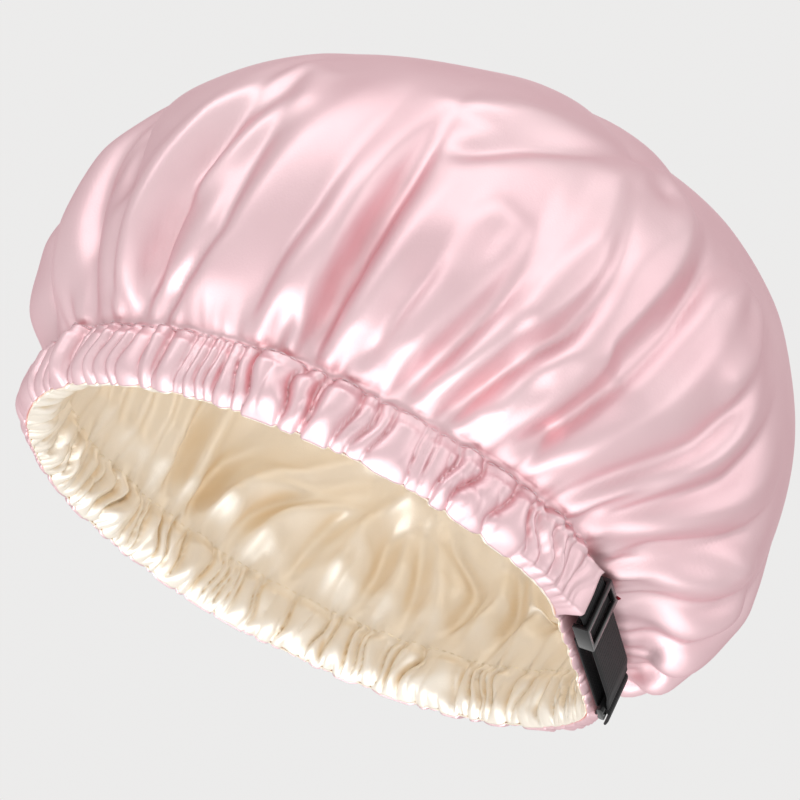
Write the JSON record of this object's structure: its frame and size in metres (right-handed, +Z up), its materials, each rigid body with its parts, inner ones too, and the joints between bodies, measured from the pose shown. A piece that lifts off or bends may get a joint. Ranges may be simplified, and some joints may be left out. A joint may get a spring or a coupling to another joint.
{
  "type": "satin sleep cap",
  "caption": "Reversible two-layer satin sleep cap with a gathered crown, an elastic casing round the rim and a black nape strap with a sliding buckle.",
  "frame": {"origin": "on the surface the rim stands on, at the middle of the crown's plan", "axes": "+Z up through the crown, +Y toward the back, with the nape strap a little toward +X of it, -Y toward the forehead"},
  "size_m": [0.225, 0.2551, 0.171],
  "materials": {
    "pink_satin": "smooth glossy satin weave",
    "champagne_satin": "smooth glossy satin weave",
    "white_elastic": "ribbed knitted elastic",
    "pink_thread": "spun polyester thread",
    "champagne_thread": "spun polyester thread",
    "black_elastic": "ribbed woven elastic webbing",
    "black_plastic": "glossy moulded plastic",
    "black_thread": "dense bartack stitches",
    "red_tape": "plain woven tape"
  },
  "bodies": {
    "cap": {"outer_cover": "pink_satin", "inner_lining": "champagne_satin", "casing_elastic": "white_elastic", "casing_needle_thread": "pink_thread", "casing_bobbin_thread": "champagne_thread", "rim_seam_thread": "champagne_thread", "nape_strap": "black_elastic", "near_bartack": "black_thread", "ring_tab": "black_elastic", "strap_ring": "black_plastic", "far_bartack": "black_thread", "red_tab": "red_tape"},
    "slider": {"slider": "black_plastic", "strap_end_loop": "black_elastic", "loop_bartack": "black_thread"}
  },
  "joints": [
    {"name": "slider_travel", "type": "slide", "parent": "cap", "child": "slider", "axis": [-0.9304, 0.3665, 0], "range_m": [0, 0.036]}
  ]
}
